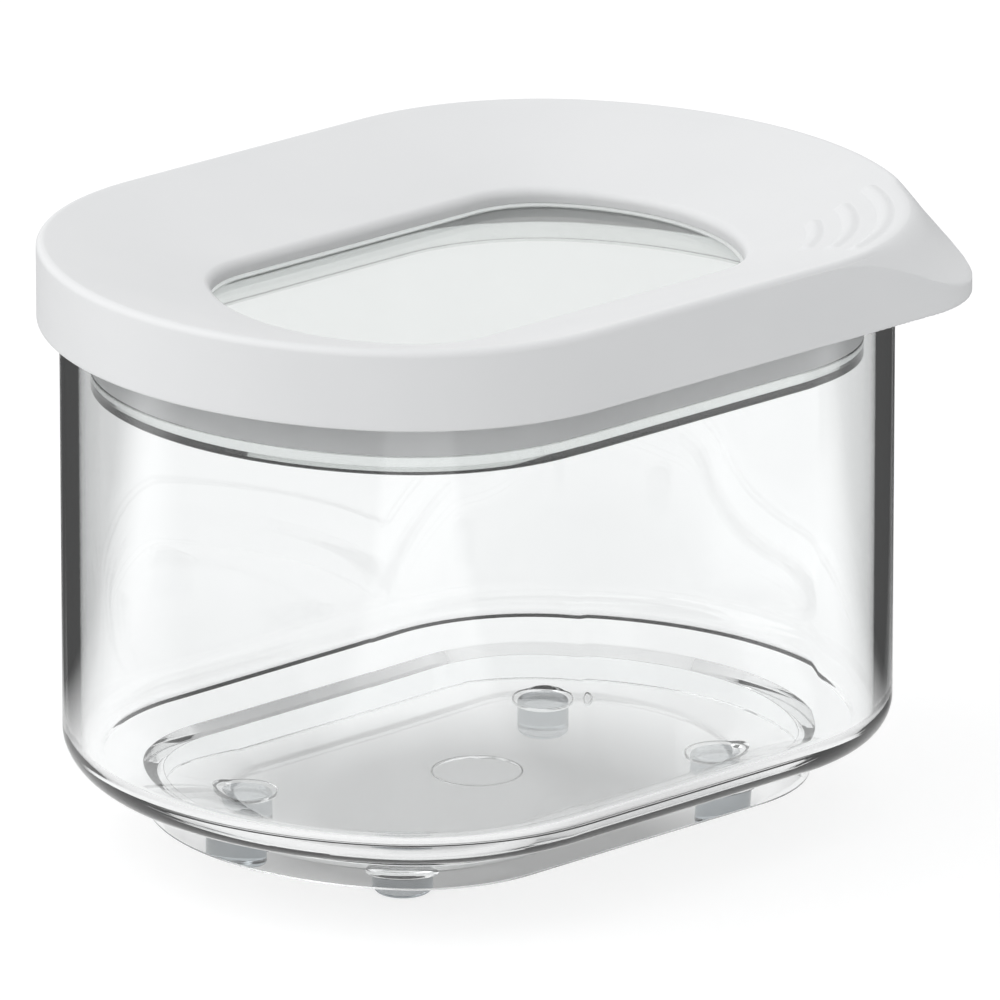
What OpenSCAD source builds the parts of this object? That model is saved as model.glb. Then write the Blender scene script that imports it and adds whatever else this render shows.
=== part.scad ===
// Clear oblong food storage container with a dished press-on lid.
// Every section is drawn as a profile of "distance in from the lid outline" against height, and swept
// round the same outline, so walls, rims, seal and window stay parallel at any size.
// The part stands on its feet at z = 0, with its long axis along X.

/* [Lid outline] */
// Length of the lid, without the thumb lip
lid_length = 124; // [110:1:150]
// Width of the lid
lid_width = 94.8; // [88:0.2:104]
// How much larger the radius of the bowed ends is than the radius of the corners
end_extra_radius = 17.5; // [12.5:0.5:20]

/* [Lid frame] */
// Height of the lid's top rim above the surface
total_height = 85; // [70:0.5:120]
// Height of the outer skirt
skirt_height = 11.2; // [9.5:0.1:13]
// Thickness of the outer skirt
skirt_wall = 2.2; // [1.6:0.1:2.6]
// Thickness of the dished top
top_wall = 2; // [1.4:0.1:2.4]
// Radius of the rounded top rim
rim_radius = 1; // [0.6:0.1:1.4]
// How far in from the outline the window opening starts
window_inset = 23.6; // [21:0.2:26]
// How far the dished top falls from the rim to the window
dish_drop = 5.9; // [4:0.1:7]
// Radius of the rounded edge round the window
window_edge_radius = 1.5; // [1:0.1:1.8]

/* [Thumb lip] */
// Direction of the lip, seen from the centre of its corner arc, in degrees
lip_angle = -48; // [-52:1:-47]
// How far the lip reaches past the corner
lip_reach = 7.4; // [5:0.1:8]
// Radius of the lip's rounded nose
lip_nose_radius = 16; // [12:0.5:16.5]
// Thickness of the lip at its tip
lip_tip = 2.2; // [1.8:0.1:3.5]
// Radius of the slightly hollow ramp on top of the lip
lip_ramp_radius = 32; // [20:1:50]
// Height of the lip's underside above the skirt's lower edge
lip_lift = 0.2; // [0.15:0.05:0.4]
// How far the lip's flanks lie inside the lines that touch both its arcs
lip_blend = 0.15; // [0.1:0.05:0.3]
// Number of curved grip ridges beside the lip
ridge_count = 3; // [1:1:4]
// How far in from the outline the outermost ridge lies
ridge_inset = 4.5; // [3.8:0.1:6]
// Spacing of the ridges
ridge_pitch = 4.8; // [3.6:0.1:5.4]
// Height of a ridge above the dished top
ridge_height = 0.5; // [0.3:0.05:0.6]
// Half the angle that the outermost ridge spans
ridge_half_angle = 26; // [20:1:28]
// How much smaller the half angle of each ridge further in is
ridge_half_step = 5.5; // [0:0.5:6]

/* [Window and seal] */
// Depth of the window below the edge of its opening
window_recess = 2.4; // [2.2:0.1:3]
// Thickness of the window pane
pane_wall = 1.8; // [1.4:0.1:2.2]
// Thickness of the clear plug wall
plug_wall = 1.6; // [1.2:0.1:2]
// Depth of the plug below the lid's land on the container's rim
plug_depth = 15; // [14.5:0.5:20]
// Height of the clear lip under the seal
plug_lip = 2.6; // [2:0.1:3.2]
// Width of the slanted face on the inner lower edge of the plug
plug_chamfer = 1.2; // [0.6:0.1:1.4]
// Height of the seal
seal_height = 9; // [8:0.1:10]
// Thickness of the seal below its bead
seal_wall = 1.6; // [1.2:0.1:2]
// Height of the bead round the top of the seal, which closes against the container's mouth
bead_height = 3; // [2.2:0.1:4]
// Height of the upright face of that bead
bead_face = 1.2; // [0.8:0.1:1.6]
// Width of the frame's seat on the window
window_seat = 3.2; // [2:0.1:4]

/* [Container] */
// Thickness of the container's wall
wall = 2.6; // [2:0.1:3.2]
// Height at which the straight wall ends and its rounded lower edge starts
edge_height = 14.3; // [13:0.1:16.5]
// Radius of the rounded lower edge outside
edge_radius = 3.5; // [2.5:0.1:4]
// Radius of the edge between wall and floor inside
inner_edge_radius = 2; // [1:0.1:3]
// Height of the floor's edge at the inner wall
floor_edge_height = 14.7; // [13.9:0.1:16.5]
// Height of the flat middle of the floor
floor_height = 7.4; // [6.9:0.1:8.5]
// Thickness of the floor
floor_wall = 2.5; // [2:0.1:2.9]
// How far in from the lid outline the flat middle of the floor starts
floor_inset = 26; // [25:0.2:28]

/* [Base ring and feet] */
// How far in from the lid outline the base ring starts
ring_inset = 13.5; // [12:0.1:15]
// Width of the base ring
ring_width = 2.6; // [2:0.1:3.2]
// How far the base ring's outer face leans in
ring_draft = 0.8; // [0.4:0.1:1.2]
// Height of the base ring's lower face above the surface
ring_height = 4.6; // [3.7:0.1:4.8]
// Distance of a foot from the middle along the length
foot_x = 29; // [26:0.5:31]
// Distance of a foot from the middle along the width
foot_y = 16; // [14:0.5:17]
// Diameter of a foot
foot_diameter = 8; // [6:0.2:9]
// Radius of a foot's lower edge
foot_edge = 0.8; // [0.4:0.1:1]
// Height of the seat that holds a foot
foot_seat = 4.3; // [3.7:0.1:4.6]
// Width of the rim of the seat round a foot
foot_rim = 0.8; // [0.5:0.1:1.2]
// Diameter of the dimple under the middle of the floor
gate_diameter = 13; // [8:0.5:16]
// Depth of that dimple
gate_depth = 0.5; // [0.3:0.1:0.8]

/* [Clearances] */
// Space between the skirt and the container's wall
skirt_gap = 0.9; // [0.4:0.05:1.2]
// Space between the seal's bead and the container's mouth
seal_gap = 0.3; // [0.2:0.05:0.5]
// Space between the plug and the container's mouth
plug_gap = 1.6; // [1:0.1:2]
// Space between the lid's land and the container's rim
land_gap = 0.3; // [0.2:0.05:0.5]
// Space between pieces of the lid that are moulded together
mould_gap = 0.05; // [0.02:0.01:0.1]

/* [Hidden] */
$fn = 96;

// Outline: two end arcs, four corner arcs and two straight sides, tangent to each other.
// The arcs meet on a line with the slope of a 3-4-5 triangle, so their centres stay round numbers.
half_l = lid_length / 2;
half_w = lid_width / 2;
meet_cos = 0.8;
meet_sin = 0.6;
meet_angle = atan2(meet_sin, meet_cos);
corner_radius = half_w - meet_sin * end_extra_radius;
end_radius = corner_radius + end_extra_radius;
corner_y = half_w - corner_radius;
end_x = half_l - end_radius;
corner_x = end_x + meet_cos * end_extra_radius;

// Lid heights
skirt_z = total_height - skirt_height;
dish_length = window_inset - window_edge_radius - rim_radius;
dish_slope = dish_drop / dish_length;
dish_tilt = atan(dish_slope);
dish_rise = rim_radius * (1 / cos(dish_tilt) - 1);
top_drop = top_wall / cos(dish_tilt);
window_edge_z = dish_z(window_inset - window_edge_radius) - window_edge_radius / cos(dish_tilt);
pane_z = dish_z(window_inset - window_edge_radius) - window_recess;

// Insets of the container's wall and the lid's plug
body_inset = skirt_wall + skirt_gap;
mouth_inset = body_inset + wall;
seal_inset = mouth_inset + seal_gap;
plug_inset = mouth_inset + plug_gap;
plug_wall_inset = plug_inset + seal_wall;
plug_inner_inset = plug_wall_inset + mould_gap + plug_wall;
land_z = dish_z(plug_wall_inset) - top_drop;
plug_z = land_z - plug_depth;
seal_z = plug_z + plug_lip;
seal_top = seal_z + seal_height;
rim_z = land_z - land_gap;
seat_inset = window_inset - window_seat;

// Base heights: the underside falls from the rounded edge to the flat middle
floor_under = floor_height - floor_wall;
edge_inset = body_inset + edge_radius;
edge_z = edge_height - edge_radius;
under_slope = (edge_z - floor_under) / (floor_inset - edge_inset);
floor_slope = (floor_edge_height - floor_height) / (floor_inset - mouth_inset);
floor_tilt = atan(floor_slope);

// Thumb lip
lip_z = skirt_z + lip_lift;
ramp_start_z = total_height - 0.6 * rim_radius;
ramp_drop = ramp_start_z - lip_z - lip_tip;
ramp_chord = norm([lip_reach, ramp_drop]);
ramp_offset = sqrt(pow(lip_ramp_radius, 2) - pow(ramp_chord / 2, 2));
ramp_x = lip_reach / 2 + ramp_offset * ramp_drop / ramp_chord;
ramp_z = ramp_start_z - ramp_drop / 2 + ramp_offset * lip_reach / ramp_chord;
nose_distance = corner_radius + lip_reach - lip_nose_radius;
nose_tangent = acos((corner_radius - lip_nose_radius) / nose_distance);

// Length by which cutting and joining shapes run past a face
over = 1;

// Shares of the room inside a flat middle's edge: how far the swept part of a floor or pane runs in, and
// how far in the plate that fills it starts
flat_share = 0.7;
plate_share = 0.35;

// Radius of a ridge's round section, which stays inside the dished top, and radius of the ball that rounds
// the ridge's end, just inside the ridge
ridge_cover = 0.1;
ridge_radius = (top_wall - ridge_cover + ridge_height) / 2;
ridge_tip = 0.93 * ridge_radius;

// Steps of a rounded corner in a profile
arc_steps = 6;

// Height of the dished top at a distance in from the outline
function dish_z(inset) = total_height + dish_rise - (inset - rim_radius) * dish_slope;

// Height of the sloping underside and of the sloping floor at a distance in from the outline
function under_z(inset) = edge_z - (inset - edge_inset) * under_slope;
function floor_z(inset) = floor_edge_height - (inset - mouth_inset) * floor_slope;

// Inset that lies a share of the way from an inset to the centres of the corner arcs
function further_in(inset, share) = inset + share * (corner_radius - inset);

// Point at an angle on a circle, and the points of an arc
function on_circle(radius, angle) = radius * [cos(angle), sin(angle)];
function arc(centre, radius, from, to) =
    [for (i = [0 : arc_steps]) centre + on_circle(radius, from + (to - from) * i / arc_steps)];

// A quarter of a closed outline, mirrored along the length and the width
function backwards(points) = [for (i = [len(points) - 1 : -1 : 0]) points[i]];
function four_quarters(points) = concat(
    points,
    backwards([for (p = points) [-p.x, p.y]]),
    [for (p = points) -p],
    backwards([for (p = points) [p.x, -p.y]])
);

// Four copies, mirrored along the length and the width
module quarters() {
    for (mx = [0, 1], my = [0, 1]) mirror([mx, 0, 0]) mirror([0, my, 0]) children();
}

// Carries a profile round the outline: x is minus the distance in from the outline, y is the height
module sweep() {
    room = 2 * lid_length;
    for (my = [0, 1]) mirror([0, my, 0])
        translate([-corner_x, half_w, 0]) rotate([90, 0, 90]) linear_extrude(2 * corner_x) children();
    quarters() {
        intersection() {
            translate([corner_x, corner_y, 0]) rotate([0, 0, meet_angle])
                rotate_extrude(angle = 90) translate([corner_radius, 0]) children();
            translate([corner_x, 0, -room / 2]) cube(room);
        }
        intersection() {
            translate([end_x, 0, 0]) rotate([0, 0, meet_angle - 90])
                rotate_extrude(angle = 90) translate([end_radius, 0]) children();
            translate([0, 0, -room / 2]) cube(room);
        }
    }
}

// Straight-sided plate that fills the flat middle of a swept floor or pane
module middle_plate(inset, low, high) {
    quarter = [
        [end_x, 0] + on_circle(end_radius - inset, meet_angle / 3),
        for (a = [meet_angle, (meet_angle + 90) / 2, 90])
            [corner_x, corner_y] + on_circle(corner_radius - inset, a)
    ];
    translate([0, 0, low]) linear_extrude(high - low) polygon(four_quarters(quarter));
}

// Wall with a rounded lower edge, sloping floor with a flat middle, and base ring
module container_profile() {
    rim_edge = wall / 4;
    ring_outer = ring_inset + ring_draft;
    ring_inner = ring_inset + ring_width;
    flat_inset = further_in(floor_inset, flat_share);
    hollow_inset = mouth_inset + inner_edge_radius;
    hollow_z = floor_z(hollow_inset) + inner_edge_radius / cos(floor_tilt);
    polygon(concat(
        arc([-body_inset - rim_edge, rim_z - rim_edge], rim_edge, 90, 0),
        arc([-edge_inset, edge_height], edge_radius, 0, -90),
        [
            [-ring_inset, under_z(ring_inset)], [-ring_outer, ring_height],
            [-ring_inner, ring_height], [-ring_inner, under_z(ring_inner)],
            [-floor_inset, floor_under], [-flat_inset, floor_under],
            [-flat_inset, floor_height], [-floor_inset, floor_height]
        ],
        arc([-hollow_inset, hollow_z], inner_edge_radius, floor_tilt - 90, 0),
        arc([-mouth_inset + rim_edge, rim_z - rim_edge], rim_edge, 180, 90)
    ));
}

// Outer skirt, rounded rim, dished top, window edge, land and plug ring of the lid frame
module frame_profile() {
    edge_inset = window_inset - window_edge_radius;
    polygon(concat(
        [[-skirt_wall, land_z], [-skirt_wall, skirt_z], [0, skirt_z]],
        arc([-rim_radius, total_height - rim_radius], rim_radius, 0, 90 + dish_tilt),
        arc([-edge_inset, window_edge_z], window_edge_radius, 90 + dish_tilt, 180),
        [
            [-window_inset, pane_z], [-seat_inset, pane_z], [-seat_inset, dish_z(seat_inset) - top_drop],
            [-plug_wall_inset, land_z], [-plug_wall_inset, seal_top],
            [-plug_inset, seal_top], [-plug_inset, land_z]
        ]
    ));
}

// Pane edge, sloping flange under the frame, plug wall and the lip that carries the seal
module window_profile() {
    outer = plug_wall_inset + mould_gap;
    seat = seat_inset - mould_gap;
    flat_inset = further_in(window_inset, flat_share);
    flange_drop = top_drop + mould_gap / cos(dish_tilt);
    under_drop = flange_drop + plug_wall / cos(dish_tilt);
    polygon([
        [-plug_inset, plug_z], [-plug_inset, seal_z], [-outer, seal_z],
        [-outer, dish_z(outer) - flange_drop], [-seat, dish_z(seat) - flange_drop],
        [-seat, pane_z], [-flat_inset, pane_z], [-flat_inset, pane_z - pane_wall],
        [-window_inset, pane_z - pane_wall], [-plug_inner_inset, dish_z(plug_inner_inset) - under_drop],
        [-plug_inner_inset, plug_z + plug_chamfer], [plug_chamfer - plug_inner_inset, plug_z]
    ]);
}

// Ring on the plug, with a bead round its top
module seal_profile() {
    slant = (bead_height - bead_face) / 2;
    polygon([
        [-plug_wall_inset, seal_z], [-plug_inset, seal_z], [-plug_inset, seal_top - bead_height],
        [-seal_inset, seal_top - slant - bead_face], [-seal_inset, seal_top - slant],
        [-plug_inset, seal_top], [-plug_wall_inset, seal_top]
    ]);
}

// Places its children at the centre of the corner arc that carries the lip, turned towards the lip
module at_lip_corner() {
    translate([corner_x, -corner_y, 0]) rotate([0, 0, lip_angle]) children();
}

// Upright block with the plan of the lip: two flanks that run off the corner arc to a round nose
module lip_block() {
    nose = [nose_distance, 0];
    flank_start = on_circle(corner_radius - lip_blend, nose_tangent);
    flank_end = nose + on_circle(lip_nose_radius - lip_blend, nose_tangent);
    flip = [[1, 0], [0, -1]];
    linear_extrude(skirt_height) polygon([flank_start, flank_end, flip * flank_end, flip * flank_start]);
    translate(nose) cylinder(h = skirt_height, r = lip_nose_radius);
}

// Section of the lip about its corner's centre: flat below, with a hollow ramp on top
module lip_section() {
    centre = [corner_radius + ramp_x, ramp_z];
    ramp_from = atan2(ramp_start_z - ramp_z, -ramp_x);
    ramp_to = atan2(lip_z + lip_tip - ramp_z, lip_reach - ramp_x);
    lip_end = corner_radius + lip_reach + over;
    root = corner_radius - skirt_wall / 8;
    polygon(concat(
        [[lip_end, lip_z + lip_tip], [lip_end, lip_z], [root, lip_z], [root, ramp_start_z]],
        arc(centre, lip_ramp_radius, ramp_from, ramp_to)
    ));
}

// Lip joined to the outside of the skirt
module thumb_lip() {
    at_lip_corner() intersection() {
        translate([0, 0, skirt_z]) lip_block();
        rotate([0, 0, -90]) rotate_extrude(angle = 180) lip_section();
    }
}

// One round-ended grip ridge that follows the corner arc
module grip_ridge(inset, half_angle) {
    radius = corner_radius - inset;
    height = dish_z(inset) - (ridge_radius - ridge_height) / cos(dish_tilt);
    at_lip_corner() translate([0, 0, height]) {
        rotate([0, 0, -half_angle]) rotate_extrude(angle = 2 * half_angle)
            translate([radius, 0]) circle(ridge_radius);
        for (side = [-1, 1])
            rotate([0, 0, side * half_angle]) translate([radius, 0, 0]) rotate([90, 0, 0]) sphere(ridge_tip);
    }
}

// Places its children at the four feet
module at_feet() {
    for (sx = [-1, 1], sy = [-1, 1]) translate([sx * foot_x, sy * foot_y, 0]) children();
}

module container_body() {
    color([0.86, 0.91, 0.92, 0.35]) difference() {
        union() {
            sweep() container_profile();
            middle_plate(further_in(floor_inset, plate_share), floor_under, floor_height);
            at_feet() translate([0, 0, foot_seat])
                cylinder(h = floor_height - floor_wall / 2 - foot_seat, d = foot_diameter + 2 * foot_rim);
        }
        translate([0, 0, floor_under - over]) cylinder(h = gate_depth + over, d = gate_diameter);
    }
}

module base_feet() {
    color([0.80, 0.86, 0.87, 0.6]) at_feet() rotate_extrude() {
        translate([0, foot_edge]) square([foot_diameter / 2, foot_seat - foot_edge]);
        square([foot_diameter / 2 - foot_edge, foot_seat]);
        translate([foot_diameter / 2 - foot_edge, foot_edge]) circle(foot_edge);
    }
}

module lid_frame() {
    color([0.91, 0.91, 0.90]) {
        sweep() frame_profile();
        thumb_lip();
        for (i = [0 : ridge_count - 1])
            grip_ridge(ridge_inset + i * ridge_pitch, ridge_half_angle - i * ridge_half_step);
    }
}

module lid_window() {
    color([0.88, 0.94, 0.92, 0.35]) {
        sweep() window_profile();
        middle_plate(further_in(window_inset, plate_share), pane_z - pane_wall, pane_z);
    }
}

module lid_seal() {
    color([0.72, 0.73, 0.73]) sweep() seal_profile();
}

container_body();
base_feet();
lid_frame();
lid_window();
lid_seal();
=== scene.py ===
import math

import bmesh
import bpy
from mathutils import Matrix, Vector


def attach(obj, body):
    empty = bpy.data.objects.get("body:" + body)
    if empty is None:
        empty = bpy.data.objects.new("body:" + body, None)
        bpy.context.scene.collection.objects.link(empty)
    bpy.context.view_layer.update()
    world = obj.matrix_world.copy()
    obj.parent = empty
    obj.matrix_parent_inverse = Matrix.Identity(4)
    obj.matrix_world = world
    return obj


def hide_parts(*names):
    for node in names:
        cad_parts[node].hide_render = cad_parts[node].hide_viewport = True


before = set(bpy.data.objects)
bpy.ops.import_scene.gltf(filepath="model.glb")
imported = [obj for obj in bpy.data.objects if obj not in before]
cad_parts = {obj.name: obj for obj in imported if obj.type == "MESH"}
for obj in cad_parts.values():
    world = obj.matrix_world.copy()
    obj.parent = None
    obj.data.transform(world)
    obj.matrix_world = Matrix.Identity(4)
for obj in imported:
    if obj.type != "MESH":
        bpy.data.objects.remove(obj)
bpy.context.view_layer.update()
MM = 0.001

# Lengths of the object are in millimetres, and those of the stage in metres. An inset is a distance
# in from the lid's outline. Most values are the part's own. The tub's edges, the lip's blend, the
# ridges and the plug's chamfer differ a little from the solids, to look as they do in the photo.

# Lid's outline. The arcs meet at the angle of a 3-4-5 triangle.
HALF_L, HALF_W = 62.0, 47.4
END_EXTRA = 17.5
MEET, MEET_SIN, MEET_COS = math.atan2(3.0, 4.0), 0.6, 0.8
CORNER_R = HALF_W - MEET_SIN * END_EXTRA
END_R = CORNER_R + END_EXTRA
CORNER_Y = HALF_W - CORNER_R
END_X = HALF_L - END_R
CORNER_X = END_X + MEET_COS * END_EXTRA
END_STEPS, CORNER_STEPS, SIDE_STEPS = 60, 44, 24

# Lid's top. RIM_END is the angle in degrees at which the rim's arc gives way to the side.
TOP_Z, SKIRT_Z, SKIRT_WALL, SKIRT_EDGE_R = 85.0, 73.8, 2.2, 0.35
RIM_R, RIM_END = 1.0, 24.0
WINDOW_INSET, WINDOW_EDGE_R = 23.6, 1.5
WINDOW_TOP_INSET = WINDOW_INSET - WINDOW_EDGE_R
DISH_DEPTH, TOP_WALL = 5.9, 2.0
DISH_SLOPE = DISH_DEPTH / (WINDOW_TOP_INSET - RIM_R)
DISH_TILT = math.atan(DISH_SLOPE)
DISH_RISE = RIM_R * (1 / math.cos(DISH_TILT) - 1)
TOP_DROP = TOP_WALL / math.cos(DISH_TILT)


def dish_z(inset):
    """Height of the dished top."""
    return TOP_Z + DISH_RISE - (inset - RIM_R) * DISH_SLOPE


# Window, plug and seal. PANE_RINGS are insets of rings that keep the pane's middle flat in shading.
PANE_RECESS, PANE_WALL = 2.4, 1.8
PANE_Z = dish_z(WINDOW_TOP_INSET) - PANE_RECESS
PANE_UNDER = PANE_Z - PANE_WALL
PANE_RINGS = (WINDOW_INSET + 5, WINDOW_INSET + 7)
WINDOW_EDGE_Z = dish_z(WINDOW_TOP_INSET) - WINDOW_EDGE_R / math.cos(DISH_TILT)
SEAT_INSET = 20.4
SEAL_INSET, PLUG_INSET, PLUG_WALL_INSET, PLUG_INNER_INSET = 6.0, 7.3, 8.9, 10.55
PLUG_WALL, PLUG_DEPTH, PLUG_LIP, PLUG_CHAMFER = 1.6, 15.0, 2.6, 0.55
SEAL_H, BEAD_H, BEAD_FACE = 9.0, 3.0, 1.2
MOULD_GAP, SLACK = 0.05, 0.03
LAND_Z = dish_z(PLUG_WALL_INSET) - TOP_DROP
PLUG_Z = LAND_Z - PLUG_DEPTH
SEAL_Z = PLUG_Z + PLUG_LIP
SEAL_TOP = SEAL_Z + SEAL_H

# Container. FLOOR_RINGS are to the floor's middle what PANE_RINGS are to the pane's.
BODY_INSET, MOUTH_INSET, MOUTH_R, LAND_GAP = 3.1, 5.7, 0.7, 0.3
BODY_RIM_Z = LAND_Z - LAND_GAP
EDGE_R, EDGE_H, EDGE_STEPS, EDGE_END_R = 5.0, 15.8, 16, 0.3
FLOOR_EDGE, FLOOR_EDGE_R = 14.7, 2.4
FLOOR_Z, FLOOR_UNDER, FLOOR_INSET, FLOOR_R = 7.4, 4.9, 26.0, 1.5
FLOOR_RINGS = (FLOOR_INSET + 3, FLOOR_INSET + 5)
UNDER_SLOPE = (EDGE_H - EDGE_R - FLOOR_UNDER) / (FLOOR_INSET - BODY_INSET - EDGE_R)
RING_OUT, RING_FOOT, RING_IN, RING_Z, RING_R = 13.5, 14.3, 16.1, 4.6, 0.15
FOOT_X, FOOT_Y, FOOT_R, FOOT_SEAT = 29.0, 16.0, 4.0, 4.3
SEAT_MARGIN, SEAT_COVER, SEAT_EDGE_R = 0.8, 1.25, 0.3
DIMPLE_R, DIMPLE_DEPTH, DIMPLE_EDGE_R = 6.5, 0.5, 0.3
TUB_STEP = 1.6

# Thumb lip. LIP_PROUD is how far it may stand past the straight side, as in the solids.
LIP_ANGLE = math.radians(-48)
LIP_REACH, LIP_NOSE_R, LIP_TIP, LIP_LIFT, LIP_PROUD = 7.4, 16.0, 2.2, 0.2, 0.12
LIP_Z = SKIRT_Z + LIP_LIFT
LIP_SIDE = HALF_W + LIP_PROUD
NOSE_D = CORNER_R + LIP_REACH - LIP_NOSE_R
LIP_EDGE_R, LIP_EDGE_SHARE = 0.5, 0.3
NO_LIP = 1e-3

# Hollow ramp on the lip, and how the dish blends into it
RAMP_R, RAMP_START = 32.0, 0.6
RAMP_TOP = TOP_Z - RAMP_START * RIM_R
RAMP_DROP = RAMP_TOP - LIP_Z - LIP_TIP
RAMP_CHORD = math.hypot(LIP_REACH, RAMP_DROP)
RAMP_OFF = math.sqrt(RAMP_R ** 2 - RAMP_CHORD ** 2 / 4)
RAMP_X = LIP_REACH / 2 + RAMP_OFF * RAMP_DROP / RAMP_CHORD
RAMP_CZ = RAMP_TOP - RAMP_DROP / 2 + RAMP_OFF * LIP_REACH / RAMP_CHORD
RAMP_STEP, RAMP_STEPS = 0.02, 50
LIP_BLEND, BLEND_GROWTH, BLEND_FADE, BLEND_PAST = 3.2, 1.15, 2.0, 0.75

# Ridges beside the lip
RIDGES = 3
RIDGE_INSET, RIDGE_PITCH = 4.5, 4.8
RIDGE_H, RIDGE_HALF_WIDTH, RIDGE_SINK, RIDGE_DEPTH = 0.42, 1.45, 0.02, 0.8
RIDGE_HALF, RIDGE_HALF_STEP = math.radians(26), math.radians(5.5)
RIDGE_END = 1.6

# Mesh making: angles in degrees, WELD in metres
SHARP, RIDGE_SHARP = 32.0, 50.0
WELD = 1e-7


# Geometry helpers

def outline_path():
    """Points and outward normals round the lid's outline, from the +X end towards +Y."""
    path = []

    def arc(cx, cy, radius, start, end, count):
        for i in range(count):
            a = start + (end - start) * i / count
            n = (math.cos(a), math.sin(a))
            path.append(((cx + radius * n[0], cy + radius * n[1]), n))

    def side(y, x0, x1):
        for i in range(SIDE_STEPS):
            x = x0 + (x1 - x0) * i / SIDE_STEPS
            path.append(((x, y), (0.0, math.copysign(1.0, y))))

    right = math.pi / 2
    arc(END_X, 0, END_R, -MEET, MEET, END_STEPS)
    arc(CORNER_X, CORNER_Y, CORNER_R, MEET, right, CORNER_STEPS)
    side(HALF_W, CORNER_X, -CORNER_X)
    arc(-CORNER_X, CORNER_Y, CORNER_R, right, 2 * right - MEET, CORNER_STEPS)
    arc(-END_X, 0, END_R, 2 * right - MEET, 2 * right + MEET, END_STEPS)
    arc(-CORNER_X, -CORNER_Y, CORNER_R, 2 * right + MEET, 3 * right, CORNER_STEPS)
    side(-HALF_W, -CORNER_X, CORNER_X)
    arc(CORNER_X, -CORNER_Y, CORNER_R, 3 * right, 4 * right - MEET, CORNER_STEPS)
    return path


def inset_at(x, y):
    """Distance in from the outline."""
    ax, ay = abs(x), abs(y)
    ex = ax - END_X
    if ex > 0 and math.atan2(ay, ex) <= MEET:
        return END_R - math.hypot(ex, ay)
    if ax > CORNER_X:
        return CORNER_R - math.hypot(ax - CORNER_X, ay - CORNER_Y)
    return HALF_W - ay


def arc_points(inset, z, radius, start, end, count):
    """Points of an arc in a profile, about (inset, z). Angles are in degrees, 0 pointing outwards."""
    points = []
    for i in range(count + 1):
        a = math.radians(start + (end - start) * i / count)
        points.append((inset - radius * math.cos(a), z + radius * math.sin(a)))
    return points


def rounded(corners, closed=False, step=9.0):
    """A profile's points with each corner (inset, z, radius) rounded. The step is in degrees."""
    straight, most_cut = 1e-4, 0.48
    out = []
    n = len(corners)
    for i, (x, z, r) in enumerate(corners):
        if r <= 0 or (not closed and i in (0, n - 1)):
            out.append((x, z))
            continue
        here = Vector((x, z))
        before = Vector(corners[i - 1][:2]) - here
        after = Vector(corners[(i + 1) % n][:2]) - here
        u, v = before.normalized(), after.normalized()
        turn = math.pi - u.angle(v)
        if turn < straight:
            out.append((x, z))
            continue
        cut = min(r * math.tan(turn / 2), most_cut * before.length, most_cut * after.length)
        r = cut / math.tan(turn / 2)
        mid = (u + v).normalized()
        centre = here + mid * (r / math.cos(turn / 2))
        a0 = math.atan2(*(here + u * cut - centre).yx)
        a1 = math.atan2(*(here + v * cut - centre).yx)
        sweep = (a1 - a0 + math.pi) % (2 * math.pi) - math.pi
        count = max(2, int(math.degrees(abs(sweep)) / step) + 1)
        for k in range(count + 1):
            a = a0 + sweep * k / count
            out.append((centre.x + r * math.cos(a), centre.y + r * math.sin(a)))
    return out


def subdivide(points, longest, closed=False):
    """Splits the stretches of a profile that are longer than that."""
    out = []
    n = len(points)
    for i in range(n if closed else n - 1):
        a, b = points[i], points[(i + 1) % n]
        parts = max(1, math.ceil(math.dist(a, b) / longest))
        dx, dz = b[0] - a[0], b[1] - a[1]
        out += [(a[0] + dx * k / parts, a[1] + dz * k / parts) for k in range(parts)]
    if not closed:
        out.append(points[-1])
    return out


def lengths_along(points):
    """Length of a polyline up to each of its points."""
    lengths = [0.0]
    for a, b in zip(points, points[1:]):
        lengths.append(lengths[-1] + math.dist(a, b))
    return lengths


def between(a, b, share):
    """Point that lies that share of the way from a to b."""
    return (a[0] + (b[0] - a[0]) * share, a[1] + (b[1] - a[1]) * share)


def spaced(points, count):
    """A polyline resampled to that many equal steps."""
    lengths = lengths_along(points)
    out, k = [], 0
    for i in range(count + 1):
        at = lengths[-1] * i / count
        while k < len(points) - 2 and lengths[k + 1] < at:
            k += 1
        span = lengths[k + 1] - lengths[k]
        share = (at - lengths[k]) / span if span > 0 else 0.0
        out.append(between(points[k], points[k + 1], share))
    return out


def shade(mesh, sharp):
    mesh.shade_smooth()
    mesh.set_sharp_from_angle(angle=math.radians(sharp))


def finish_mesh(bm, name, sharp=SHARP):
    """Object from a bmesh, with its points welded and its normals outwards."""
    bmesh.ops.remove_doubles(bm, verts=bm.verts, dist=WELD)
    bmesh.ops.dissolve_degenerate(bm, edges=bm.edges, dist=WELD)
    bmesh.ops.recalc_face_normals(bm, faces=bm.faces)
    mesh = bpy.data.meshes.new(name)
    bm.to_mesh(mesh)
    bm.free()
    shade(mesh, sharp)
    obj = bpy.data.objects.new(name, mesh)
    bpy.context.scene.collection.objects.link(obj)
    return obj


def sweep_bm(profile_at, closed):
    """Mesh of a profile carried round the outline. An open one is capped flat at both ends."""
    bm = bmesh.new()
    rings = []
    for i, ((x, y), (nx, ny)) in enumerate(PATH):
        rings.append([
            bm.verts.new(((x - nx * d) * MM, (y - ny * d) * MM, z * MM)) for d, z in profile_at(i)
        ])
    count, width = len(rings), len(rings[0])
    for i in range(count):
        a, b = rings[i], rings[(i + 1) % count]
        for k in range(width if closed else width - 1):
            j = (k + 1) % width
            bm.faces.new((a[k], b[k], b[j], a[j]))
    if not closed:
        bm.faces.new([r[0] for r in rings])
        bm.faces.new([r[-1] for r in rings])
    return bm


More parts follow.
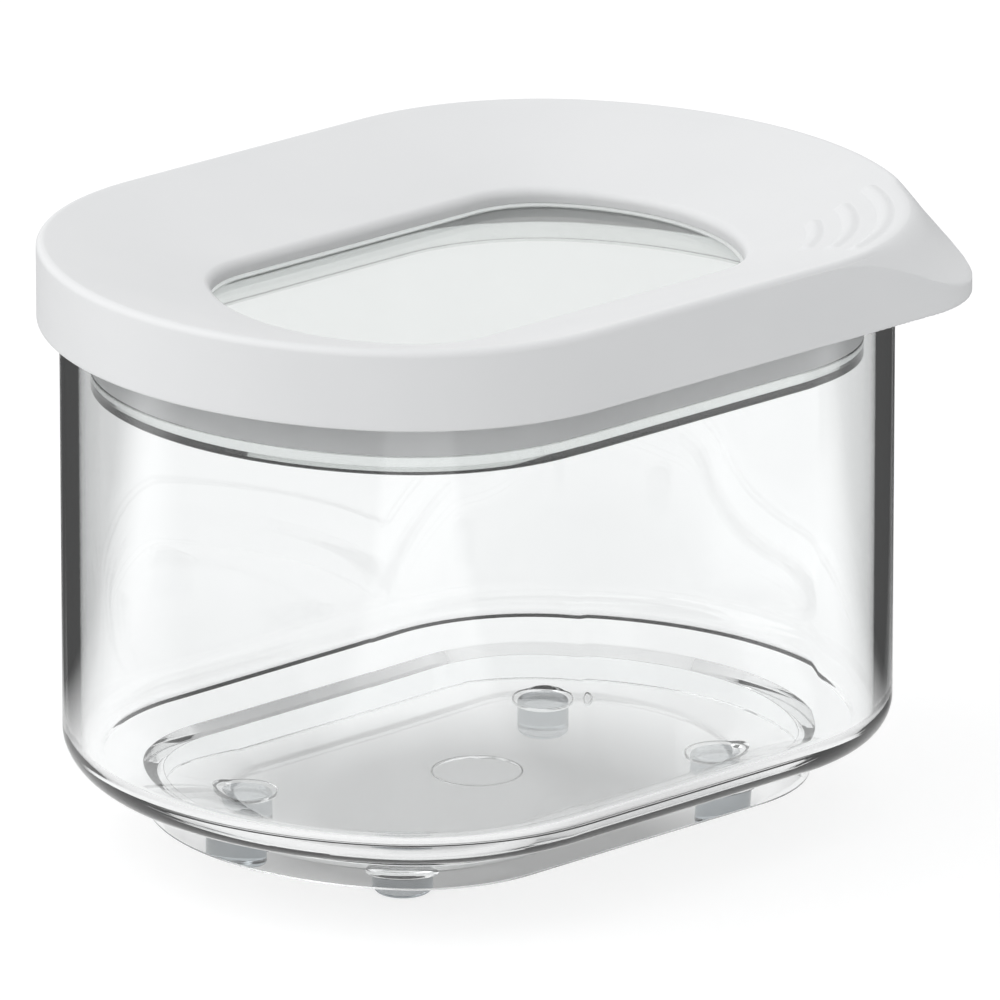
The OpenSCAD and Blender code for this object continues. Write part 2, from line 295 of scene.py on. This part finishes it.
def weigh_normals(obj):
    mod = obj.modifiers.new("weighted_normals", "WEIGHTED_NORMAL")
    mod.keep_sharp = True
    mod.weight = 60


def boolean(obj, other, how):
    """Joins or cuts the object with another, which is used up."""
    mod = obj.modifiers.new("cut", "BOOLEAN")
    mod.operation = how
    mod.solver = "EXACT"
    mod.object = other
    depsgraph = bpy.context.evaluated_depsgraph_get()
    mesh = bpy.data.meshes.new_from_object(obj.evaluated_get(depsgraph))
    obj.modifiers.clear()
    old = obj.data
    obj.data = mesh
    bpy.data.meshes.remove(old)
    bpy.data.objects.remove(other)
    shade(mesh, SHARP)


def turned(name, places, profile, steps=72):
    """Solid of revolution at each place. The profile is (radius, z), from axis to axis."""
    on_axis = 1e-6
    bm = bmesh.new()
    for cx, cy in places:
        rings = []
        for r, z in profile:
            if r < on_axis:
                rings.append([bm.verts.new((cx * MM, cy * MM, z * MM))])
            else:
                rings.append([
                    bm.verts.new((
                        (cx + r * math.cos(2 * math.pi * k / steps)) * MM,
                        (cy + r * math.sin(2 * math.pi * k / steps)) * MM,
                        z * MM,
                    )) for k in range(steps)
                ])
        for a, b in zip(rings, rings[1:]):
            for k in range(steps):
                j = (k + 1) % steps
                if len(a) == 1:
                    bm.faces.new((a[0], b[k], b[j]))
                elif len(b) == 1:
                    bm.faces.new((a[k], b[0], a[j]))
                else:
                    bm.faces.new((a[k], b[k], b[j], a[j]))
    return finish_mesh(bm, name)


PATH = outline_path()


# Container. The corners of each profile are (inset or radius, z, rounding radius).

def under_z(inset):
    """Height of the sloping underside."""
    return EDGE_H - EDGE_R - (inset - BODY_INSET - EDGE_R) * UNDER_SLOPE


def make_body():
    """The tub, with seats for the feet and a gate dimple, and the four feet."""
    inner = rounded([
        (FLOOR_RINGS[1], FLOOR_Z, 0), (FLOOR_RINGS[0], FLOOR_Z, 0),
        (FLOOR_INSET, FLOOR_Z, FLOOR_R), (MOUTH_INSET, FLOOR_EDGE, FLOOR_EDGE_R),
        (MOUTH_INSET, BODY_RIM_Z, MOUTH_R), (BODY_INSET, BODY_RIM_Z, MOUTH_R),
        (BODY_INSET, EDGE_H, 0),
    ], step=6.0)
    edge = arc_points(BODY_INSET + EDGE_R, EDGE_H, EDGE_R, 0, -90, EDGE_STEPS)[1:-1]
    under = rounded([
        edge[-1] + (0,), (BODY_INSET + EDGE_R, EDGE_H - EDGE_R, EDGE_END_R),
        (RING_OUT, under_z(RING_OUT), RING_R), (RING_FOOT, RING_Z, RING_R),
        (RING_IN, RING_Z, RING_R), (RING_IN, under_z(RING_IN), RING_R),
        (FLOOR_INSET, FLOOR_UNDER, FLOOR_R),
        (FLOOR_RINGS[0], FLOOR_UNDER, 0), (FLOOR_RINGS[1], FLOOR_UNDER, 0),
    ])[1:]
    profile = subdivide(inner + edge + under, TUB_STEP)
    body = finish_mesh(sweep_bm(lambda i: profile, closed=False), "tub")

    places = [(sx * FOOT_X, sy * FOOT_Y) for sx in (-1, 1) for sy in (-1, 1)]
    seat_r, seat_top = FOOT_R + SEAT_MARGIN, FLOOR_Z - SEAT_COVER
    seats = turned("seats", places, rounded([
        (0, FOOT_SEAT, 0), (seat_r, FOOT_SEAT, SEAT_EDGE_R), (seat_r, seat_top, 0), (0, seat_top, 0),
    ]))
    boolean(body, seats, "UNION")
    dimple_top, dimple_under = FLOOR_UNDER + DIMPLE_DEPTH, FLOOR_UNDER - 1
    dimple = turned("dimple", [(0, 0)], rounded([
        (0, dimple_top, 0), (DIMPLE_R, dimple_top, DIMPLE_EDGE_R),
        (DIMPLE_R, dimple_under, 0), (0, dimple_under, 0),
    ]))
    boolean(body, dimple, "DIFFERENCE")
    weigh_normals(body)

    foot_top = FOOT_SEAT - SLACK
    pads = turned("feet", places, rounded([
        (0, foot_top, 0), (FOOT_R, foot_top, 0.25), (FOOT_R, 0, 0.8), (0, 0, 0),
    ]))
    return body, pads


# Lid

def lip_distance(x, y):
    """Signed distance to the lip's plan: the hull of the corner arc and the nose."""
    px, py = x - CORNER_X, y + CORNER_Y
    c, s = math.cos(LIP_ANGLE), math.sin(LIP_ANGLE)
    along, across = px * c + py * s, abs(-px * s + py * c)
    b = (CORNER_R - LIP_NOSE_R) / NOSE_D
    a = math.sqrt(1 - b * b)
    k = -b * across + a * along
    if k < 0:
        return math.hypot(across, along) - CORNER_R
    if k > a * NOSE_D:
        return math.hypot(across, along - NOSE_D) - LIP_NOSE_R
    return across * a + along * b - CORNER_R


def lip_reaches():
    """How far the lip stands out at each point of the outline."""
    search, halvings, smoothings, faces_side = 12.0, 40, 24, 0.5
    reach = []
    for (x, y), (nx, ny) in PATH:
        if x < 0 or y > 0 or lip_distance(x, y) > -1e-9:
            reach.append(0.0)
            continue
        low, high = 0.0, search
        for _ in range(halvings):
            mid = (low + high) / 2
            if lip_distance(x + nx * mid, y + ny * mid) < 0:
                low = mid
            else:
                high = mid
        reach.append(low)
    n = len(reach)
    for _ in range(smoothings):
        reach = [(reach[i - 1] + 2 * reach[i] + reach[(i + 1) % n]) / 4 for i in range(n)]
    grow = LIP_REACH / max(reach)
    limits = [(LIP_SIDE + y) / -ny if ny < -faces_side else LIP_REACH for (_, y), (_, ny) in PATH]
    return [min(r * grow, max(limit, 0.0)) for r, limit in zip(reach, limits)]


def ramp_z(out):
    """Height of the lip's ramp at that distance out from the outline."""
    return RAMP_CZ - math.sqrt(max(RAMP_R ** 2 - (RAMP_X - out) ** 2, 0))


def soften(points, reach):
    """Blends the dish into the lip's ramp, so that the rim fades out towards the lip."""
    if reach <= NO_LIP:
        return points
    height = min(LIP_BLEND, BLEND_GROWTH * reach)
    share = min(1.0, BLEND_FADE * reach)
    out = []
    for d, z in points:
        if -BLEND_PAST * reach < d < LIP_BLEND:
            dish, slope = dish_z(d), ramp_z(-d)
            near = max(height - abs(dish - slope), 0.0)
            z += share * min(0.0, min(dish, slope) - near ** 2 / (4 * height) - z)
        out.append((d, z))
    return out


def lid_side(reach):
    """Outer side of the lid where the lip stands out by reach, as two stretches: the slope that
    leaves the rim, and the wall down to the lower edge."""
    rim_steps, slope_steps, wall_steps = 4, 26, 34
    past_slope, least_slope = 0.6, 2.0
    if reach > NO_LIP:
        start = arc_points(RIM_R, TOP_Z - RIM_R, RIM_R, RIM_END, RIM_END, 1)[:1]
        outs = [reach * RAMP_STEP * k for k in range(1, RAMP_STEPS + 1)]
        path = start + [(-out, ramp_z(out)) for out in outs]
        slope_length = lengths_along(path)[-1]
    else:
        path = arc_points(RIM_R, TOP_Z - RIM_R, RIM_R, RIM_END, 0, rim_steps)
        slope_length = 0.0
    path = path[:-2] + rounded([
        path[-2] + (0,), path[-1] + (min(LIP_EDGE_R, LIP_EDGE_SHARE * reach),),
        (-reach, SKIRT_Z, SKIRT_EDGE_R), (SKIRT_WALL / 2, SKIRT_Z, 0),
    ])
    lengths = lengths_along(path)
    split_at = max(slope_length + past_slope, least_slope)
    k = next(i for i, length in enumerate(lengths) if length >= split_at)
    share = (split_at - lengths[k - 1]) / (lengths[k] - lengths[k - 1])
    split = between(path[k - 1], path[k], share)
    return spaced(path[:k] + [split], slope_steps), spaced([split] + path[k:], wall_steps)[1:]


def make_frame():
    """The white lid frame, from the window's edge over the dish and the side to its seats inside."""
    reach = lip_reaches()
    tilt = math.degrees(DISH_TILT)
    window = arc_points(WINDOW_TOP_INSET, WINDOW_EDGE_Z, WINDOW_EDGE_R, 180, 90 + tilt, 12)
    rim = arc_points(RIM_R, TOP_Z - RIM_R, RIM_R, 90 + tilt, RIM_END, 9)
    top = subdivide(window + rim, 0.6)[:-1]
    inside = subdivide(rounded([
        (SKIRT_WALL / 2, SKIRT_Z, 0), (SKIRT_WALL, SKIRT_Z, SKIRT_EDGE_R), (SKIRT_WALL, LAND_Z, 0.4),
        (PLUG_INSET, LAND_Z, 0.2), (PLUG_INSET, SEAL_TOP, 0.15), (PLUG_WALL_INSET, SEAL_TOP, 0.15),
        (PLUG_WALL_INSET, LAND_Z, 0.3), (SEAT_INSET, dish_z(SEAT_INSET) - TOP_DROP, 0.2),
        (SEAT_INSET, PANE_Z, 0.1), (WINDOW_INSET, PANE_Z, 0.15), (WINDOW_INSET, WINDOW_EDGE_Z, 0),
    ])[1:-1], 4.0)

    def section(i):
        slope, wall = lid_side(reach[i])
        return soften(top + slope, reach[i]) + wall + inside

    obj = finish_mesh(sweep_bm(section, closed=True), "lid_rim")
    weigh_normals(obj)
    return obj


def make_ridges():
    """Low, soft ridges that follow the lip's corner and end in a round slope."""
    across, along, cap = 22, 60, 12
    bm = bmesh.new()
    for i in range(RIDGES):
        radius = CORNER_R - RIDGE_INSET - RIDGE_PITCH * i
        half = RIDGE_HALF - RIDGE_HALF_STEP * i
        # each station is an angle from the lip's direction and a distance past the ridge's end
        stations = []
        for k in range(cap):
            past = RIDGE_HALF_WIDTH * (1 - k / cap)
            stations.append((-half - past / radius, past))
        stations += [(-half + 2 * half * k / along, 0.0) for k in range(along + 1)]
        stations += [(-t, past) for t, past in reversed(stations[:cap])]
        rings = []
        for t, past in stations:
            a = LIP_ANGLE + t
            section = []
            for k in range(across + 1):
                d = RIDGE_HALF_WIDTH * (2 * k / across - 1)
                share = min(1.0, math.hypot(d, RIDGE_END * past) / RIDGE_HALF_WIDTH)
                lift = RIDGE_H * (0.5 + 0.5 * math.cos(math.pi * share)) - RIDGE_SINK
                section.append((d, lift))
            section += [(RIDGE_HALF_WIDTH, -RIDGE_DEPTH), (-RIDGE_HALF_WIDTH, -RIDGE_DEPTH)]
            ring = []
            for d, lift in section:
                x = CORNER_X + (radius + d) * math.cos(a)
                y = -CORNER_Y + (radius + d) * math.sin(a)
                ring.append(bm.verts.new((x * MM, y * MM, (dish_z(inset_at(x, y)) + lift) * MM)))
            rings.append(ring)
        for a, b in zip(rings, rings[1:]):
            for j in range(len(a)):
                m = (j + 1) % len(a)
                bm.faces.new((a[j], b[j], b[m], a[m]))
        bm.faces.new(rings[0])
        bm.faces.new(rings[-1])
    return finish_mesh(bm, "grip_ridges", RIDGE_SHARP)


def make_window():
    """The clear pane, its flange under the frame, and the plug wall with the lip under the seal."""
    flange = TOP_DROP + MOULD_GAP / math.cos(DISH_TILT)
    under = flange + PLUG_WALL / math.cos(DISH_TILT)
    outer, seat = PLUG_WALL_INSET + MOULD_GAP, SEAT_INSET - MOULD_GAP
    profile = subdivide(rounded([
        (PANE_RINGS[1], PANE_Z, 0), (PANE_RINGS[0], PANE_Z, 0), (seat, PANE_Z, 0.15),
        (seat, dish_z(seat) - flange, 0.2), (outer, dish_z(outer) - flange, 0.4),
        (outer, SEAL_Z, 0.15), (PLUG_INSET, SEAL_Z, 0.2), (PLUG_INSET, PLUG_Z, 0.3),
        (PLUG_INNER_INSET - PLUG_CHAMFER, PLUG_Z, 0.1),
        (PLUG_INNER_INSET, PLUG_Z + PLUG_CHAMFER, 0.1),
        (PLUG_INNER_INSET, dish_z(PLUG_INNER_INSET) - under, 1.5),
        (WINDOW_INSET, PANE_UNDER, 3.0),
        (PANE_RINGS[0], PANE_UNDER, 0), (PANE_RINGS[1], PANE_UNDER, 0),
    ], step=8.0), 5.0)
    pane = finish_mesh(sweep_bm(lambda i: profile, closed=False), "window")
    weigh_normals(pane)
    return pane


def make_seal():
    """The soft ring on the plug, with a bead towards the tub."""
    low, high, back = SEAL_Z + SLACK, SEAL_TOP - SLACK, PLUG_WALL_INSET - SLACK
    slant = (BEAD_H - BEAD_FACE) / 2
    profile = subdivide(rounded([
        (back, low, 0.1), (back, high, 0.1),
        (PLUG_INSET, high, 0.3), (SEAL_INSET, SEAL_TOP - slant, 0.6),
        (SEAL_INSET, SEAL_TOP - slant - BEAD_FACE, 0.6), (PLUG_INSET, SEAL_TOP - BEAD_H, 0.6),
        (PLUG_INSET, low, 0.25),
    ], closed=True), 3.0, closed=True)
    ring = finish_mesh(sweep_bm(lambda i: profile, closed=True), "seal")
    weigh_normals(ring)
    return ring


# Materials. Noise scales are per metre, and bump distances in metres.

WHITE_DARK, WHITE_PALE = (0.800, 0.803, 0.806), (0.815, 0.817, 0.819)
SEAL_DARK, SEAL_PALE = (0.84, 0.845, 0.85), (0.88, 0.885, 0.89)
TUB_TINT, FEET_TINT, WINDOW_TINT = (0.985, 0.992, 0.992), (0.40, 0.43, 0.45), (0.78, 0.80, 0.79)
CLEAR_SHADE = 0.995
CLEAR_IOR, WHITE_IOR = 1.57, 1.5
GRAIN_DEPTH, WAVE_DEPTH = 0.00002, 0.0000004


def new_material(name):
    mat = bpy.data.materials.new(name)
    mat.use_nodes = True
    nodes, links = mat.node_tree.nodes, mat.node_tree.links
    return mat, nodes, links, nodes["Principled BSDF"]


def noise(nodes, links, scale, detail):
    coord = nodes.new("ShaderNodeTexCoord")
    tex = nodes.new("ShaderNodeTexNoise")
    tex.inputs["Scale"].default_value = scale
    tex.inputs["Detail"].default_value = detail
    tex.inputs["Roughness"].default_value = 0.55
    links.new(coord.outputs["Object"], tex.inputs["Vector"])
    return tex.outputs["Fac"]


def ramp(nodes, links, source, low, high, start=0.3, end=0.7):
    """Goes from low to high as the source goes from start to end."""
    node = nodes.new("ShaderNodeMapRange")
    node.inputs["From Min"].default_value = start
    node.inputs["From Max"].default_value = end
    node.inputs["To Min"].default_value = low
    node.inputs["To Max"].default_value = high
    links.new(source, node.inputs["Value"])
    return node.outputs["Result"]


def colours(nodes, links, source, low, high, start=0.35, end=0.65):
    """Goes from one colour to another as the source goes from start to end."""
    node = nodes.new("ShaderNodeValToRGB")
    for element, at, colour in zip(node.color_ramp.elements, (start, end), (low, high)):
        element.position = at
        element.color = (*colour, 1)
    links.new(source, node.inputs["Fac"])
    return node.outputs["Color"]


def bump(nodes, links, bsdf, source, distance, strength):
    node = nodes.new("ShaderNodeBump")
    node.inputs["Distance"].default_value = distance
    node.inputs["Strength"].default_value = strength
    links.new(source, node.inputs["Height"])
    links.new(node.outputs["Normal"], bsdf.inputs["Normal"])


def white_plastic():
    """Satin white plastic with a fine grain."""
    mat, nodes, links, bsdf = new_material("white_satin_plastic")
    cloud = noise(nodes, links, scale=45, detail=2.0)
    links.new(colours(nodes, links, cloud, WHITE_DARK, WHITE_PALE), bsdf.inputs["Base Color"])
    grain = noise(nodes, links, scale=3200, detail=2.0)
    links.new(ramp(nodes, links, grain, low=0.44, high=0.52), bsdf.inputs["Roughness"])
    bump(nodes, links, bsdf, grain, GRAIN_DEPTH, strength=0.25)
    bsdf.inputs["IOR"].default_value = WHITE_IOR
    return mat


def clear_plastic(name, colour):
    """Polished clear plastic, with faint smears and a slight wave."""
    mat, nodes, links, bsdf = new_material(name)
    cloud = noise(nodes, links, scale=60, detail=2.0)
    dark = tuple(c * CLEAR_SHADE for c in colour)
    links.new(colours(nodes, links, cloud, dark, colour), bsdf.inputs["Base Color"])
    smear = noise(nodes, links, scale=220, detail=3.0)
    smears = ramp(nodes, links, smear, low=0.0, high=0.012, start=0.45, end=0.75)
    links.new(smears, bsdf.inputs["Roughness"])
    wave = noise(nodes, links, scale=38, detail=1.0)
    bump(nodes, links, bsdf, wave, WAVE_DEPTH, strength=1.0)
    bsdf.inputs["IOR"].default_value = CLEAR_IOR
    bsdf.inputs["Transmission Weight"].default_value = 1.0
    return mat


def seal_rubber():
    """Pale soft rubber."""
    mat, nodes, links, bsdf = new_material("soft_seal")
    cloud = noise(nodes, links, scale=70, detail=2.0)
    links.new(colours(nodes, links, cloud, SEAL_DARK, SEAL_PALE), bsdf.inputs["Base Color"])
    grain = noise(nodes, links, scale=2600, detail=2.0)
    links.new(ramp(nodes, links, grain, low=0.5, high=0.62), bsdf.inputs["Roughness"])
    bump(nodes, links, bsdf, grain, GRAIN_DEPTH, strength=0.3)
    return mat


def dress(obj, mat, body, slot, *nodes):
    """Gives a piece its material and body, and hides the CAD nodes that it stands for. The slot is
    not used.
    """
    obj.data.materials.clear()
    obj.data.materials.append(mat)
    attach(obj, body)
    if nodes:
        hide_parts(*nodes)


tub, feet = make_body()
lid_rim = make_frame()
ridges = make_ridges()
window = make_window()
seal = make_seal()

clear = clear_plastic("clear_plastic", TUB_TINT)
white = white_plastic()
clear_feet = clear_plastic("clear_soft_feet", FEET_TINT)
clear_window = clear_plastic("clear_window", WINDOW_TINT)
dress(tub, clear, "container", "clear_body", "container_body")
dress(feet, clear_feet, "container", "soft_feet", "base_feet")
dress(lid_rim, white, "lid", "white_lid", "lid_frame")
dress(ridges, white, "lid", "white_lid")
dress(window, clear_window, "lid", "clear_window", "lid_window")
dress(seal, seal_rubber(), "lid", "soft_seal", "lid_seal")


# Floor, light and camera. Stage lengths are in metres.

AZIMUTH, ELEVATION = 0.754, 0.311
SIDEWAYS = (math.cos(AZIMUTH), -math.sin(AZIMUTH), 0.0)
AHEAD = (math.sin(AZIMUTH), math.cos(AZIMUTH), 0.0)

FLOOR_SIZE, FLOOR_COLOUR = 6.0, (0.85, 0.85, 0.85, 1)
# Dark flags on the floor: where they start and are full, and how strong they are
FLAG_SIDE, FLAG_AHEAD = (0.060, 0.076), (0.012, 0.055)
FLAG_NEAR, FLAG_DEEP, FLAG_LEVEL = 0.6, 0.2, 0.075
ONE_WALL, NO_BOUNCE = 2.5, 0.5
# The floor's own glow for the camera and through the plastic, its share of the light that falls on
# it, and a painted shadow under the tub: a dimmer glow seen through the plastic, full out to the
# first radius and faded out by the second
GLOW_DIRECT, GLOW_THROUGH, LIT = 0.80, 0.74, 0.30
PAINTED_SHADOW_GLOW, PAINTED_SHADOW_CORE, PAINTED_SHADOW_EDGE = 0.27, 0.022, 0.046

WORLD_COLOUR, WORLD_LEVEL = (0.98, 0.99, 1.0, 1), 0.70
BACK_COLOUR, BACK_LEVEL = (1, 1, 1, 1), 1.0
LAMP_TARGET = Vector((0, 0, 0.05))

# Camera: the photo's pixels per millimetre, and the pixel at which AXIS_POINT shows
SCALE_PX, IMAGE = 7.344, 1000
DISTANCE, SENSOR = 2.5, 36
AXIS_POINT, AXIS_PX = Vector((0, 0, 0.0461)), (478.5, 494.8)


def math_node(nodes, links, operation, a, b):
    node = nodes.new("ShaderNodeMath")
    node.operation = operation
    for socket, value in zip(node.inputs, (a, b)):
        if isinstance(value, (int, float)):
            socket.default_value = value
        else:
            links.new(value, socket)
    return node.outputs[0]


def ray_nodes(nodes, links):
    """Light Path's outputs, and 1 for rays that see the background."""
    path = nodes.new("ShaderNodeLightPath").outputs
    first = math_node(nodes, links, "MAXIMUM", path["Is Camera Ray"], path["Is Glossy Ray"])
    return path, math_node(nodes, links, "MAXIMUM", first, path["Is Transmission Ray"])


def mix_shaders(nodes, links, share, first, second, out):
    mix = nodes.new("ShaderNodeMixShader")
    links.new(share, mix.inputs[0])
    links.new(first.outputs[0], mix.inputs[1])
    links.new(second.outputs[0], mix.inputs[2])
    links.new(mix.outputs[0], out.inputs["Surface"])


def floor_material():
    """White to the camera. Rays bent by the clear plastic also see the flags and a painted shadow
    under the tub.
    """
    mat = bpy.data.materials.new("floor")
    mat.use_nodes = True
    nodes, links = mat.node_tree.nodes, mat.node_tree.links
    nodes.clear()
    out = nodes.new("ShaderNodeOutputMaterial")
    path, sees = ray_nodes(nodes, links)
    direct = path["Is Camera Ray"]
    place = nodes.new("ShaderNodeTexCoord").outputs["Object"]

    def calc(operation, a, b):
        return math_node(nodes, links, operation, a, b)

    def along(axis):
        dot = nodes.new("ShaderNodeVectorMath")
        dot.operation = "DOT_PRODUCT"
        dot.inputs[1].default_value = axis
        links.new(place, dot.inputs[0])
        return dot.outputs["Value"]

    # four flags, weaker on the near side
    aside = calc("ABSOLUTE", along(SIDEWAYS), 0.0)
    far = ramp(nodes, links, along(AHEAD), 0.0, 1.0, *FLAG_AHEAD)
    near = ramp(nodes, links, along(AHEAD), FLAG_NEAR, 0.0, -FLAG_AHEAD[1], -FLAG_AHEAD[0])
    flags = ramp(nodes, links, aside, 0.0, 1.0, *FLAG_SIDE)
    flags = calc("MULTIPLY", flags, calc("MAXIMUM", far, near))
    # full for rays through one wall at most, weak for deeper ones, and none for the camera's own rays
    # or after a diffuse bounce
    shallow = calc("LESS_THAN", path["Transmission Depth"], ONE_WALL)
    bent = ramp(nodes, links, shallow, FLAG_DEEP, 1.0, 0.0, 1.0)
    bent = calc("MULTIPLY", bent, calc("SUBTRACT", 1.0, direct))
    bent = calc("MULTIPLY", bent, calc("LESS_THAN", path["Diffuse Depth"], NO_BOUNCE))
    bent = calc("MULTIPLY", bent, flags)
    keep = calc("SUBTRACT", 1.0, calc("MULTIPLY", bent, 1.0 - FLAG_LEVEL))

    # painted shadow under the tub: seen through the plastic, the floor's glow dims towards the middle
    radius = nodes.new("ShaderNodeVectorMath")
    radius.operation = "LENGTH"
    links.new(place, radius.inputs[0])
    own = nodes.new("ShaderNodeMix")
    links.new(direct, own.inputs["Factor"])
    links.new(
        ramp(nodes, links, radius.outputs["Value"], PAINTED_SHADOW_GLOW, GLOW_THROUGH, PAINTED_SHADOW_CORE, PAINTED_SHADOW_EDGE),
        own.inputs["A"],
    )
    own.inputs["B"].default_value = GLOW_DIRECT
    glow = nodes.new("ShaderNodeEmission")
    links.new(calc("MULTIPLY", own.outputs["Result"], keep), glow.inputs["Strength"])
    faint = nodes.new("ShaderNodeBsdfDiffuse")
    links.new(calc("MULTIPLY", keep, LIT), faint.inputs["Color"])
    shown = nodes.new("ShaderNodeAddShader")
    links.new(glow.outputs[0], shown.inputs[0])
    links.new(faint.outputs[0], shown.inputs[1])
    plain = nodes.new("ShaderNodeBsdfDiffuse")
    plain.inputs["Color"].default_value = FLOOR_COLOUR
    mix_shaders(nodes, links, sees, plain, shown, out)
    return mat


def make_floor():
    bm = bmesh.new()
    bmesh.ops.create_grid(bm, x_segments=2, y_segments=2, size=FLOOR_SIZE)
    mesh = bpy.data.meshes.new("floor")
    bm.to_mesh(mesh)
    bm.free()
    floor = bpy.data.objects.new("floor", mesh)
    bpy.context.scene.collection.objects.link(floor)
    mesh.materials.append(floor_material())


def make_world():
    world = bpy.data.worlds.new("studio")
    bpy.context.scene.world = world
    world.use_nodes = True
    nodes, links = world.node_tree.nodes, world.node_tree.links
    nodes.clear()
    out = nodes.new("ShaderNodeOutputWorld")
    _, sees = ray_nodes(nodes, links)

    def background(colour, level):
        node = nodes.new("ShaderNodeBackground")
        node.inputs["Color"].default_value = colour
        node.inputs["Strength"].default_value = level
        return node

    light = background(WORLD_COLOUR, WORLD_LEVEL)
    back = background(BACK_COLOUR, BACK_LEVEL)
    mix_shaders(nodes, links, sees, light, back, out)


def area_light(name, place, size, power):
    data = bpy.data.lights.new(name, "AREA")
    data.shape = "SQUARE"
    data.size = size
    data.energy = power
    obj = bpy.data.objects.new(name, data)
    obj.location = place
    obj.rotation_mode = "QUATERNION"
    obj.rotation_quaternion = (LAMP_TARGET - Vector(place)).to_track_quat("-Z", "Y")
    bpy.context.scene.collection.objects.link(obj)


def make_camera():
    data = bpy.data.cameras.new("camera")
    camera = bpy.data.objects.new("camera", data)
    bpy.context.scene.collection.objects.link(camera)
    level, drop = math.cos(ELEVATION), math.sin(ELEVATION)
    right = Vector(SIDEWAYS)
    ahead = Vector((AHEAD[0] * level, AHEAD[1] * level, -drop))
    up = right.cross(ahead)
    across, down = ((IMAGE / 2 - px) / SCALE_PX * MM for px in AXIS_PX)
    camera.location = AXIS_POINT + (right * across - up * down) - ahead * DISTANCE
    camera.rotation_mode = "QUATERNION"
    camera.rotation_quaternion = ahead.to_track_quat("-Z", "Y")
    data.sensor_width = SENSOR
    data.lens = SENSOR * SCALE_PX * DISTANCE / MM / IMAGE
    data.clip_start, data.clip_end = 0.05, 50
    bpy.context.scene.camera = camera


make_floor()
make_world()
area_light("key", place=(-1.23, 0.72, 1.48), size=2.0, power=19.6)
area_light("fill", place=(0.9, -1.5, 0.9), size=0.8, power=0.7)
make_camera()

bpy.context.scene.view_settings.view_transform = "Standard"
